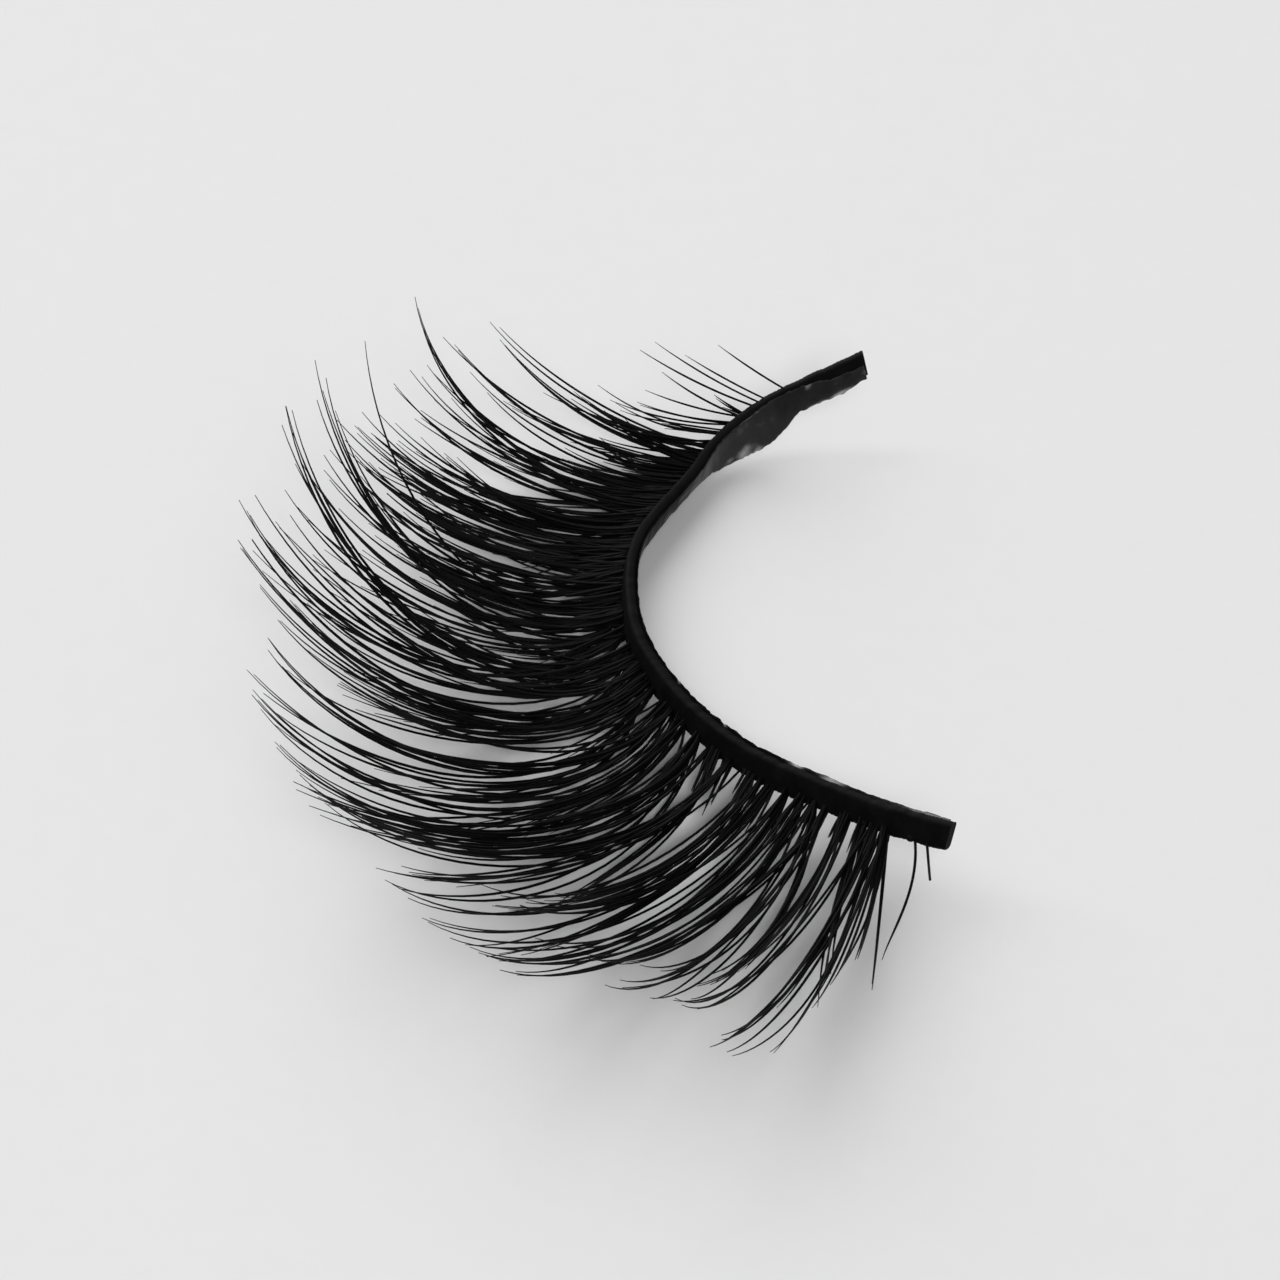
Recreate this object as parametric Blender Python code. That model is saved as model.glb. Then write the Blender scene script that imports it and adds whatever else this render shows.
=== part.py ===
# False eyelash strip, lying on a level surface, hair bellies down and tips curled up.
#
# Axes: X runs along the strip, outer eye corner at +X and inner corner at -X.
# The lashes point to -Y, the hollow side that meets the eyelid opens to +Y.
# Z is up and z = 0 is the surface under the strip. The origin is the middle of
# the underside of the whole strip. Lengths below are in millimetres.

import math

import bmesh
import bpy
import numpy as np
from mathutils import Vector

MM = 0.001

# ---- band: a stiff cotton-thread ribbon ------------------------------------
BAND_THICKNESS = 0.42
BAND_EDGE_ROUND = 0.10
BAND_STEP = 0.62            # length of one facet along the band

# Root edge of the band, from the outer corner to the inner corner.
# lean is the angle of the ribbon's height from level, measured from the
# eyelid side: under 90 it leans in over the eyelid, over 90 it leans out.
BAND_COLUMNS = ("x", "y", "z", "lean", "height")
BAND_STATIONS = (
    (11.15, 8.80, 2.75, 66.0, 1.00),
    (10.00, 7.35, 2.30, 66.0, 1.00),
    (8.85, 6.05, 1.90, 66.0, 1.00),
    (7.65, 4.80, 1.55, 67.0, 1.00),
    (5.77, 2.95, 1.12, 70.0, 1.00),
    (3.68, 1.45, 0.88, 73.0, 1.00),
    (1.40, 0.30, 0.75, 76.0, 1.00),
    (-1.00, -0.38, 0.70, 78.0, 1.00),
    (-3.30, -0.38, 0.67, 80.0, 1.00),
    (-5.40, 0.05, 0.63, 80.0, 1.00),
    (-7.00, 0.93, 0.59, 78.0, 1.00),
    (-8.30, 1.82, 0.54, 75.0, 1.00),
    (-9.20, 2.48, 0.49, 75.0, 1.00),
    (-10.05, 3.25, 0.47, 90.0, 1.02),
    (-10.55, 4.05, 0.62, 103.0, 1.04),
    (-10.88, 4.80, 0.92, 108.0, 1.05),
    (-11.06, 5.70, 1.42, 110.0, 1.05),
    (-11.03, 6.90, 2.20, 112.0, 1.00),
    (-10.95, 7.80, 2.80, 112.0, 0.95),
    (-10.92, 8.58, 3.30, 112.0, 0.92),
)

# ---- glue film: dried lash adhesive on the eyelid face of the band ----------
GLUE_THICKNESS = 0.14
GLUE_GAP = 0.05
GLUE_STEP = 0.62
# along: distance from the outer corner; past_root and past_free: how far the
# film hangs out past the band's root edge and past its free edge
GLUE_COLUMNS = ("along", "past_root", "past_free")
GLUE_STATIONS = (
    (0.25, -0.20, 0.04),
    (3.0, -0.15, 0.12),
    (8.0, -0.15, 0.16),
    (13.0, -0.15, 0.08),
    (18.0, -0.15, 0.10),
    (23.0, -0.10, 0.12),
    (25.0, 0.00, 0.06),
    (26.0, 0.30, 0.00),
    (27.0, 0.58, -0.04),
    (27.9, 0.80, -0.05),
    (28.6, 0.68, -0.05),
    (29.6, 0.12, -0.05),
    (31.0, 0.14, -0.05),
    (33.0, -0.05, -0.06),
)

# ---- lash fringe: the outer form of the tufts -------------------------------
CLUSTER_COUNT = 24
CLUSTER_FIRST = 1.0         # along the band from the outer corner
CLUSTER_LAST = 31.0
CLUSTER_GAP = 0.10          # between neighbouring tufts at the band
ROOT_GAP = 0.06             # between a tuft and the band
BELLY_FLOOR = 0.10          # height of the surface under the bellies
CURL_POWER = 0.85           # below 1 the curl starts early, above 1 it gathers at the tip
TUFT_SECTIONS = 11
# along: distance from the outer corner; heading: compass direction of the
# hairs in plan, anticlockwise from +X; length: of the longest hair; pitch at
# the root and at the tip, above level; thick: depth of the tuft at its fullest
FRINGE_COLUMNS = ("along", "heading", "length", "root_pitch", "tip_pitch", "thick")
FRINGE_STATIONS = (
    (1.0, -10.0, 9.5, -14.0, 50.0, 0.45),
    (2.2, -22.0, 14.5, -16.0, 50.0, 0.60),
    (4.0, -30.0, 15.6, -18.0, 51.0, 0.75),
    (6.0, -39.0, 16.6, -20.0, 52.0, 0.80),
    (8.0, -47.0, 17.2, -25.0, 54.0, 0.80),
    (10.0, -57.0, 17.2, -26.0, 58.0, 0.80),
    (12.0, -70.0, 17.2, -26.0, 68.0, 0.80),
    (14.0, -83.0, 16.8, -26.0, 76.0, 0.80),
    (16.0, -93.0, 16.2, -26.0, 80.0, 0.80),
    (18.0, -102.0, 14.8, -26.0, 77.0, 0.80),
    (20.5, -108.0, 12.4, -26.0, 68.0, 0.75),
    (23.0, -114.0, 11.0, -25.0, 60.0, 0.70),
    (25.0, -118.0, 10.2, -20.0, 56.0, 0.60),
    (26.5, -121.0, 9.0, -12.0, 53.0, 0.50),
    (28.0, -122.0, 6.2, -10.0, 48.0, 0.40),
    (29.5, -126.0, 5.0, -8.0, 46.0, 0.35),
    (31.0, -136.0, 4.0, -6.0, 46.0, 0.30),
)
# depth and width of a tuft along its length, as shares of the fullest depth
# and of the tuft's room between its neighbours
TUFT_COLUMNS = ("share_of_length", "depth", "width")
TUFT_PROFILE = (
    (0.00, 0.60, 1.00),
    (0.12, 0.90, 0.96),
    (0.30, 1.00, 0.94),
    (0.50, 0.70, 0.92),
    (0.70, 0.44, 0.84),
    (0.85, 0.28, 0.58),
    (1.00, 0.14, 0.12),
)


# ---- curves through the tables -----------------------------------------------
def natural_spline(knots, values):
    """A smooth curve through values at knots; returns a function of position."""
    knots = np.asarray(knots, float)
    values = np.asarray(values, float)
    count = len(knots)
    steps = np.diff(knots)
    matrix = np.eye(count)
    right = np.zeros((count,) + values.shape[1:])
    for i in range(1, count - 1):
        matrix[i, i - 1] = steps[i - 1]
        matrix[i, i] = 2.0 * (steps[i - 1] + steps[i])
        matrix[i, i + 1] = steps[i]
        right[i] = 6.0 * ((values[i + 1] - values[i]) / steps[i]
                          - (values[i] - values[i - 1]) / steps[i - 1])
    bend = np.linalg.solve(matrix, right)

    def at(position):
        i = int(min(max(np.searchsorted(knots, position) - 1, 0), count - 2))
        step = steps[i]
        a = (knots[i + 1] - position) / step
        b = (position - knots[i]) / step
        return (a * values[i] + b * values[i + 1]
                + ((a ** 3 - a) * bend[i] + (b ** 3 - b) * bend[i + 1]) * step * step / 6.0)

    return at


def column_curves(stations):
    """Straight-line interpolation, rounded by a short running average."""
    rows = np.asarray(stations, float)

    def at(position, column, spread=0.6):
        spots = np.linspace(position - spread, position + spread, 7)
        return float(np.mean(np.interp(spots, rows[:, 0], rows[:, column])))

    return at


band_rows = np.asarray(BAND_STATIONS, float)
chords = np.linalg.norm(np.diff(band_rows[:, :3], axis=0), axis=1)
band_knots = np.concatenate([[0.0], np.cumsum(chords)])
BAND_LENGTH = float(band_knots[-1])
root_edge = natural_spline(band_knots, band_rows[:, :3])
glue_at = column_curves(GLUE_STATIONS)
fringe_at = column_curves(FRINGE_STATIONS)


def unit(vector):
    return vector / np.linalg.norm(vector)


def band_frame(along):
    """Root-edge point, eyelid-side direction, height direction and face normal."""
    along = min(max(along, 0.0), BAND_LENGTH)
    point = root_edge(along)
    ahead = root_edge(min(along + 0.05, BAND_LENGTH)) - root_edge(max(along - 0.05, 0.0))
    flat = unit(np.array([ahead[0], ahead[1], 0.0]))
    inward = np.array([flat[1], -flat[0], 0.0])
    spots = np.linspace(along - 0.5, along + 0.5, 7)
    lean = math.radians(float(np.mean(np.interp(spots, band_knots, band_rows[:, 3]))))
    height = float(np.interp(along, band_knots, band_rows[:, 4]))
    rise = unit(math.cos(lean) * inward + math.sin(lean) * np.array([0.0, 0.0, 1.0]))
    face = unit(math.sin(lean) * inward - math.cos(lean) * np.array([0.0, 0.0, 1.0]))
    return point, inward, rise, face, height


# ---- closed bodies from rings of points --------------------------------------
def loft(name, rings, colour, roughness, specular=0.5, smooth_angle=40.0):
    """A closed body through rings that all have the same number of points."""
    mesh_builder = bmesh.new()
    made = []
    for ring in rings:
        made.append([mesh_builder.verts.new(Vector(tuple(p))) for p in ring])
    count = len(made[0])
    for low, high in zip(made, made[1:]):
        for k in range(count):
            n = (k + 1) % count
            mesh_builder.faces.new((low[k], low[n], high[n], high[k]))
    mesh_builder.faces.new(list(reversed(made[0])))
    mesh_builder.faces.new(made[-1])
    bmesh.ops.triangulate(mesh_builder, faces=mesh_builder.faces[:])
    bmesh.ops.recalc_face_normals(mesh_builder, faces=mesh_builder.faces[:])
    mesh = bpy.data.meshes.new(name)
    mesh_builder.to_mesh(mesh)
    mesh_builder.free()
    mesh.shade_smooth()
    mesh.set_sharp_from_angle(angle=math.radians(smooth_angle))
    body = bpy.data.objects.new(name, mesh)
    bpy.context.scene.collection.objects.link(body)
    material = bpy.data.materials.new(name + "_finish")
    material.use_nodes = True
    shader = material.node_tree.nodes["Principled BSDF"]
    shader.inputs["Base Color"].default_value = colour + (1.0,)
    shader.inputs["Roughness"].default_value = roughness
    shader.inputs["Metallic"].default_value = 0.0
    shader.inputs["Specular IOR Level"].default_value = specular
    mesh.materials.append(material)
    return body


def rounded_slab(point, across, up, low, high, near, far, corner):
    """Eight points of a slab section with chamfered corners."""
    c = corner
    spots = ((near + c, low), (far - c, low), (far, low + c), (far, high - c),
             (far - c, high), (near + c, high), (near, high - c), (near, low + c))
    return [point + across * a + up * b for a, b in spots]


def band_rings():
    count = int(round(BAND_LENGTH / BAND_STEP))
    rings = []
    for i in range(count + 1):
        along = BAND_LENGTH * i / count
        point, inward, rise, face, height = band_frame(along)
        rings.append(rounded_slab(point, face, rise, 0.0, height, 0.0,
                                  BAND_THICKNESS, BAND_EDGE_ROUND))
    return rings


def glue_rings():
    first, last = GLUE_STATIONS[0][0], GLUE_STATIONS[-1][0]
    count = int(round((last - first) / GLUE_STEP))
    near = BAND_THICKNESS + GLUE_GAP
    rings = []
    for i in range(count + 1):
        along = first + (last - first) * i / count
        point, inward, rise, face, height = band_frame(along)
        low = -glue_at(along, 1)
        high = height + glue_at(along, 2)
        rings.append(rounded_slab(point, face, rise, low, high, near,
                                  near + GLUE_THICKNESS, GLUE_THICKNESS * 0.28))
    return rings


# ---- the fringe surface --------------------------------------------------------
PATH_POINTS = 61


def hair_path(along, root_pitch):
    """Middle surface of the fringe above one place on the band, root to tip."""
    point, inward, rise, face, height = band_frame(along)
    heading = math.radians(fringe_at(along, 1))
    length = fringe_at(along, 2)
    tip_pitch = fringe_at(along, 4)
    share = np.linspace(0.0, 1.0, PATH_POINTS)
    pitch = np.radians(root_pitch + (tip_pitch - root_pitch) * share ** CURL_POWER)
    middle = 0.5 * (pitch[1:] + pitch[:-1])
    step = length / (PATH_POINTS - 1)
    run = np.concatenate([[0.0], np.cumsum(np.cos(middle))]) * step
    climb = np.concatenate([[0.0], np.cumsum(np.sin(middle))]) * step
    depth = tuft_depth(along, 0.0)
    start = point - face * (ROOT_GAP + 0.12) + rise * (0.5 * depth + 0.02)
    return np.stack([start[0] + run * math.cos(heading),
                     start[1] + run * math.sin(heading),
                     start[2] + climb], axis=1)


profile_rows = np.asarray(TUFT_PROFILE, float)


def tuft_depth(along, share):
    return fringe_at(along, 5) * float(np.interp(share, profile_rows[:, 0], profile_rows[:, 1]))


def settled_pitch(along):
    """Root pitch at which the underside of the fringe just meets the surface."""
    deepest = fringe_at(along, 3)

    def lowest(pitch):
        path = hair_path(along, pitch)
        depth = [0.5 * tuft_depth(along, i / (PATH_POINTS - 1)) for i in range(PATH_POINTS)]
        return float(np.min(path[:, 2] - np.asarray(depth)))

    if lowest(deepest) >= BELLY_FLOOR:
        return deepest
    low, high = deepest, 20.0
    for _ in range(30):
        middle = 0.5 * (low + high)
        if lowest(middle) < BELLY_FLOOR:
            low = middle
        else:
            high = middle
    return high


pitch_spots = np.linspace(0.0, BAND_LENGTH, 68)
pitch_values = np.array([settled_pitch(s) for s in pitch_spots])


def fringe_point(along, share):
    path = hair_path(along, float(np.interp(along, pitch_spots, pitch_values)))
    place = share * (PATH_POINTS - 1)
    i = int(min(place, PATH_POINTS - 2))
    return path[i] + (path[i + 1] - path[i]) * (place - i)


def cluster_rings(low, high):
    middle = 0.5 * (low + high)
    half = 0.5 * (high - low - CLUSTER_GAP)
    rings = []
    for j in range(TUFT_SECTIONS):
        share = j / (TUFT_SECTIONS - 1)
        width = float(np.interp(share, profile_rows[:, 0], profile_rows[:, 2]))
        depth = tuft_depth(middle, share)
        forward = unit(fringe_point(middle, min(share + 0.02, 1.0))
                       - fringe_point(middle, max(share - 0.02, 0.0)))
        sideways = unit(fringe_point(middle + 0.3, share) - fringe_point(middle - 0.3, share))
        normal = unit(np.cross(sideways, forward))
        if normal[2] < 0.0:
            normal = -normal
        spots = [fringe_point(middle + half * width * k, share) for k in (-1.0, -0.5, 0.0, 0.5, 1.0)]
        upper = [spots[0], spots[1] + normal * depth * 0.40, spots[2] + normal * depth * 0.5,
                 spots[3] + normal * depth * 0.40, spots[4]]
        lower = [spots[3] - normal * depth * 0.40, spots[2] - normal * depth * 0.5,
                 spots[1] - normal * depth * 0.40]
        rings.append(upper + lower)
    return rings


# ---- make the pieces -------------------------------------------------------------
for old in list(bpy.data.objects):
    bpy.data.objects.remove(old, do_unlink=True)

pieces = {"band": band_rings(), "glue_film": glue_rings()}
edges = np.linspace(CLUSTER_FIRST, CLUSTER_LAST, CLUSTER_COUNT + 1)
for index in range(CLUSTER_COUNT):
    pieces["lash_cluster_%02d" % (index + 1)] = cluster_rings(edges[index], edges[index + 1])

everything = np.concatenate([np.asarray(ring) for rings in pieces.values() for ring in rings])
low_corner, high_corner = everything.min(axis=0), everything.max(axis=0)
origin = np.array([0.5 * (low_corner[0] + high_corner[0]),
                   0.5 * (low_corner[1] + high_corner[1]), low_corner[2]])

FINISHES = {
    "band": ((0.012, 0.012, 0.013), 0.62, 0.35),
    "glue_film": ((0.030, 0.030, 0.032), 0.28, 0.50),
    "lash_cluster": ((0.008, 0.008, 0.009), 0.42, 0.45),
}
for name, rings in pieces.items():
    finish = FINISHES["lash_cluster" if name.startswith("lash_cluster") else name]
    placed = [[(np.asarray(p) - origin) * MM for p in ring] for ring in rings]
    loft(name, placed, *finish)
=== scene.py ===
import math

import bmesh
import bpy
import numpy as np
from mathutils import Matrix, Vector


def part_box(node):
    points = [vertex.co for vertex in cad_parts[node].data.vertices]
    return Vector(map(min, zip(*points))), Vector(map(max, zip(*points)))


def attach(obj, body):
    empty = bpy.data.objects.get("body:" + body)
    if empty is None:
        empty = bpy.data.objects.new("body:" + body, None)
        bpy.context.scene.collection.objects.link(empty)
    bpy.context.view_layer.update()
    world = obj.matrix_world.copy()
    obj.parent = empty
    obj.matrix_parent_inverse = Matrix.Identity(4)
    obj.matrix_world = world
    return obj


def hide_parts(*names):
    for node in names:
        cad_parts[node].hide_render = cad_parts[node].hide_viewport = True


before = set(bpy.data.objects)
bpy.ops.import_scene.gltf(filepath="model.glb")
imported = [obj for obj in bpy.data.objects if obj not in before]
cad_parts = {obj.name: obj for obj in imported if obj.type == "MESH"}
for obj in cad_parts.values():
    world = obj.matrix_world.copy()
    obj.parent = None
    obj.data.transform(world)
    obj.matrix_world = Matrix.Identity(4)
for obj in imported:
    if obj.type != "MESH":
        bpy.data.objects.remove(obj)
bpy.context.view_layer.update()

# False eyelash strip on a pale surface. Lengths below are in millimetres in
# the working frame: X along the strip, outer eye corner at +X, lashes to -Y,
# eyelid side to +Y, z = 0 near the surface. ORIGIN moves it to the CAD frame.
MM = 0.001
rng = np.random.default_rng(20417)


# ---- the band's line, as in the CAD model ------------------------------------
# x, y, z of the root edge, lean of the ribbon from level, ribbon height
BAND_STATIONS = (
    (11.15, 8.80, 2.75, 66.0, 1.00),
    (10.00, 7.35, 2.30, 66.0, 1.00),
    (8.85, 6.05, 1.90, 66.0, 1.00),
    (7.65, 4.80, 1.55, 67.0, 1.00),
    (5.77, 2.95, 1.12, 70.0, 1.00),
    (3.68, 1.45, 0.88, 73.0, 1.00),
    (1.40, 0.30, 0.75, 76.0, 1.00),
    (-1.00, -0.38, 0.70, 78.0, 1.00),
    (-3.30, -0.38, 0.67, 80.0, 1.00),
    (-5.40, 0.05, 0.63, 80.0, 1.00),
    (-7.00, 0.93, 0.59, 78.0, 1.00),
    (-8.30, 1.82, 0.54, 75.0, 1.00),
    (-9.20, 2.48, 0.49, 75.0, 1.00),
    (-10.05, 3.25, 0.47, 90.0, 1.02),
    (-10.55, 4.05, 0.62, 103.0, 1.04),
    (-10.88, 4.80, 0.92, 108.0, 1.05),
    (-11.06, 5.70, 1.42, 110.0, 1.05),
    (-11.03, 6.90, 2.20, 112.0, 1.00),
    (-10.95, 7.80, 2.80, 112.0, 0.95),
    (-10.92, 8.58, 3.30, 112.0, 0.92),
)
BAND_THICKNESS = 0.42
BAND_EDGE_ROUND = 0.10
BAND_STEP = 0.62
CLUSTER_COUNT = 24
CLUSTER_FIRST = 1.0
CLUSTER_LAST = 31.0
CURL_POWER = 0.85

# along, heading, longest hair, tip pitch of the fringe
FRINGE_STATIONS = (
    (1.0, -10.0, 9.5, 50.0), (2.2, -22.0, 14.5, 50.0), (4.0, -30.0, 15.6, 51.0),
    (6.0, -39.0, 16.6, 52.0), (8.0, -47.0, 17.2, 54.0), (10.0, -57.0, 17.2, 58.0),
    (12.0, -70.0, 17.2, 68.0), (14.0, -83.0, 16.8, 76.0), (16.0, -93.0, 16.2, 80.0),
    (18.0, -102.0, 14.8, 77.0), (20.5, -108.0, 12.4, 68.0), (23.0, -114.0, 11.0, 60.0),
    (25.0, -118.0, 10.2, 56.0), (26.5, -121.0, 9.0, 53.0), (28.0, -122.0, 6.2, 48.0),
    (29.5, -126.0, 5.0, 46.0), (31.0, -136.0, 4.0, 46.0),
)


def unit(vector):
    return vector / np.linalg.norm(vector)


def natural_spline(knots, values):
    """A smooth curve through values at knots; returns a function of position."""
    knots = np.asarray(knots, float)
    values = np.asarray(values, float)
    count = len(knots)
    steps = np.diff(knots)
    matrix = np.eye(count)
    right = np.zeros((count,) + values.shape[1:])
    for i in range(1, count - 1):
        matrix[i, i - 1] = steps[i - 1]
        matrix[i, i] = 2.0 * (steps[i - 1] + steps[i])
        matrix[i, i + 1] = steps[i]
        right[i] = 6.0 * ((values[i + 1] - values[i]) / steps[i]
                          - (values[i] - values[i - 1]) / steps[i - 1])
    bend = np.linalg.solve(matrix, right)

    def at(position):
        i = int(min(max(np.searchsorted(knots, position) - 1, 0), count - 2))
        step = steps[i]
        a = (knots[i + 1] - position) / step
        b = (position - knots[i]) / step
        return (a * values[i] + b * values[i + 1]
                + ((a ** 3 - a) * bend[i] + (b ** 3 - b) * bend[i + 1]) * step * step / 6.0)

    return at


band_rows = np.asarray(BAND_STATIONS, float)
band_knots = np.concatenate([[0.0], np.cumsum(
    np.linalg.norm(np.diff(band_rows[:, :3], axis=0), axis=1))])
BAND_LENGTH = float(band_knots[-1])
root_edge = natural_spline(band_knots, band_rows[:, :3])
fringe_rows = np.asarray(FRINGE_STATIONS, float)


def fringe_at(along, column):
    return float(np.interp(along, fringe_rows[:, 0], fringe_rows[:, column]))


def band_frame(along):
    """Root-edge point, rise and face directions and height of the ribbon."""
    along = min(max(along, 0.0), BAND_LENGTH)
    point = root_edge(along)
    ahead = root_edge(min(along + 0.05, BAND_LENGTH)) - root_edge(max(along - 0.05, 0.0))
    flat = unit(np.array([ahead[0], ahead[1], 0.0]))
    inward = np.array([flat[1], -flat[0], 0.0])
    spots = np.linspace(along - 0.5, along + 0.5, 7)
    lean = math.radians(float(np.mean(np.interp(spots, band_knots, band_rows[:, 3]))))
    height = float(np.interp(along, band_knots, band_rows[:, 4]))
    rise = unit(math.cos(lean) * inward + math.sin(lean) * np.array([0.0, 0.0, 1.0]))
    face = unit(math.sin(lean) * inward - math.cos(lean) * np.array([0.0, 0.0, 1.0]))
    return point, rise, face, height


# Where the working frame's zero lies in the CAD frame: the CAD band's lowest
# corner, less the same corner of the band worked out here.
corners = []
for i in range(int(round(BAND_LENGTH / BAND_STEP)) + 1):
    point, rise, face, height = band_frame(BAND_LENGTH * i / round(BAND_LENGTH / BAND_STEP))
    c = BAND_EDGE_ROUND
    for a, b in ((c, 0.0), (BAND_THICKNESS - c, 0.0), (BAND_THICKNESS, c),
                 (BAND_THICKNESS, height - c), (BAND_THICKNESS - c, height),
                 (c, height), (0.0, height - c), (0.0, c)):
        corners.append(point + face * a + rise * b)
ORIGIN = np.min(corners, axis=0) - np.array(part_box("band")[0]) / MM


def placed(points):
    return (np.asarray(points, float) - ORIGIN) * MM


# ---- camera ---------------------------------------------------------------------
FRAME_PIXELS = 1280.0
CAMERA_AZIMUTH = math.radians(85.0)
CAMERA_ELEVATION = math.radians(45.0)
CAMERA_DISTANCE = 200.0
FOCAL_PIXELS = 6000.0
LOOK_AT = np.array([0.0, 0.0, 2.0])
cam_back = np.array([math.sin(CAMERA_AZIMUTH) * math.cos(CAMERA_ELEVATION),
                     -math.cos(CAMERA_AZIMUTH) * math.cos(CAMERA_ELEVATION),
                     math.sin(CAMERA_ELEVATION)])
cam_right = np.array([math.cos(CAMERA_AZIMUTH), math.sin(CAMERA_AZIMUTH), 0.0])
cam_up = np.cross(cam_back, cam_right)
cam_place = LOOK_AT + cam_back * CAMERA_DISTANCE

camera_data = bpy.data.cameras.new("camera")
camera_data.sensor_width = 36.0
camera_data.lens = FOCAL_PIXELS / FRAME_PIXELS * 36.0
camera_data.clip_start = 0.005
camera_data.clip_end = 5.0
camera = bpy.data.objects.new("camera", camera_data)
bpy.context.scene.collection.objects.link(camera)
camera.matrix_world = Matrix((
    (cam_right[0], cam_up[0], cam_back[0], placed(cam_place)[0]),
    (cam_right[1], cam_up[1], cam_back[1], placed(cam_place)[1]),
    (cam_right[2], cam_up[2], cam_back[2], placed(cam_place)[2]),
    (0.0, 0.0, 0.0, 1.0)))
bpy.context.scene.camera = camera


def seen_at(point):
    """Place in the 1280 frame where a working-frame point shows."""
    q = point - cam_place
    depth = -(q @ cam_back)
    return np.array([640.0 + FOCAL_PIXELS * (q @ cam_right) / depth,
                     640.0 - FOCAL_PIXELS * (q @ cam_up) / depth])


# ---- one lash hair: a curl in the upright plane of its heading --------------------
HAIR_SEGMENTS = 22
HAIR_SIDES = 6
share_nodes = np.linspace(0.0, 1.0, HAIR_SEGMENTS + 1)
share_mids = 0.5 * (share_nodes[1:] + share_nodes[:-1])
curl_mids = share_mids ** CURL_POWER
FLOOR_CLEARANCE = 0.13      # working-frame height that no hair goes under


def curl_run(root_pitch, tip_pitch):
    """Level run and climb at every node, for a hair of length 1."""
    pitch = np.radians(root_pitch + (tip_pitch - root_pitch) * curl_mids)
    run = np.concatenate([[0.0], np.cumsum(np.cos(pitch))]) / HAIR_SEGMENTS
    climb = np.concatenate([[0.0], np.cumsum(np.sin(pitch))]) / HAIR_SEGMENTS
    return run, climb


def curl_path(root, heading, length, root_pitch, tip_pitch, bow=0.0, flick=0.0):
    """bow bends the whole hair sideways, flick only the part near its root."""
    run, climb = curl_run(root_pitch, tip_pitch)
    a = math.radians(heading)
    side = np.array([-math.sin(a), math.cos(a), 0.0])
    aside = (bow * np.sin(math.pi * share_nodes)
             + flick * 6.75 * share_nodes * (1.0 - share_nodes) ** 2)
    return (root + np.outer(run * length, [math.cos(a), math.sin(a), 0.0])
            + np.outer(climb * length, [0.0, 0.0, 1.0])
            + np.outer(aside * length, side))


def curl_to_sight(root, root_pitch, tip_pitch, sight, heading, length):
    """Heading and length at which the tip shows at sight in the frame."""
    run, climb = curl_run(root_pitch, tip_pitch)

    def tip(h, l):
        a = math.radians(h)
        return seen_at(root + np.array([math.cos(a) * run[-1], math.sin(a) * run[-1], climb[-1]]) * l)

    for _ in range(25):
        here = tip(heading, length)
        miss = np.asarray(sight, float) - here
        if np.abs(miss).max() < 0.01:
            break
        slope = np.stack([(tip(heading + 0.1, length) - here) / 0.1,
                          (tip(heading, length + 0.01) - here) / 0.01], axis=1)
        step = np.linalg.lstsq(slope, miss, rcond=None)[0]
        heading += float(np.clip(step[0], -12.0, 12.0))
        length += float(np.clip(step[1], -2.0, 2.0))
        length = max(length, 0.5)
    return heading, length


def curl_to_point(root, target, root_pitch):
    """Heading, length and tip pitch of the curl from root that ends at target."""
    reach = target - root
    level = math.hypot(reach[0], reach[1])
    wanted = math.atan2(reach[2], level)
    low, high = root_pitch, 150.0
    for _ in range(26):
        middle = 0.5 * (low + high)
        run, climb = curl_run(root_pitch, middle)
        if math.atan2(climb[-1], run[-1]) < wanted:
            low = middle
        else:
            high = middle
    run, climb = curl_run(root_pitch, high)
    return math.degrees(math.atan2(reach[1], reach[0])), level / run[-1], high


def settled_path(root, target, root_pitch, bow, flick):
    """Curl from root to target with its belly clear of the surface."""
    for _ in range(30):
        heading, length, tip_pitch = curl_to_point(root, target, root_pitch)
        path = curl_path(root, heading, length, root_pitch, tip_pitch, bow, flick)
        if path[:, 2].min() >= FLOOR_CLEARANCE or root_pitch > 30.0:
            return path
        root_pitch += 1.5
    return path


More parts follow.
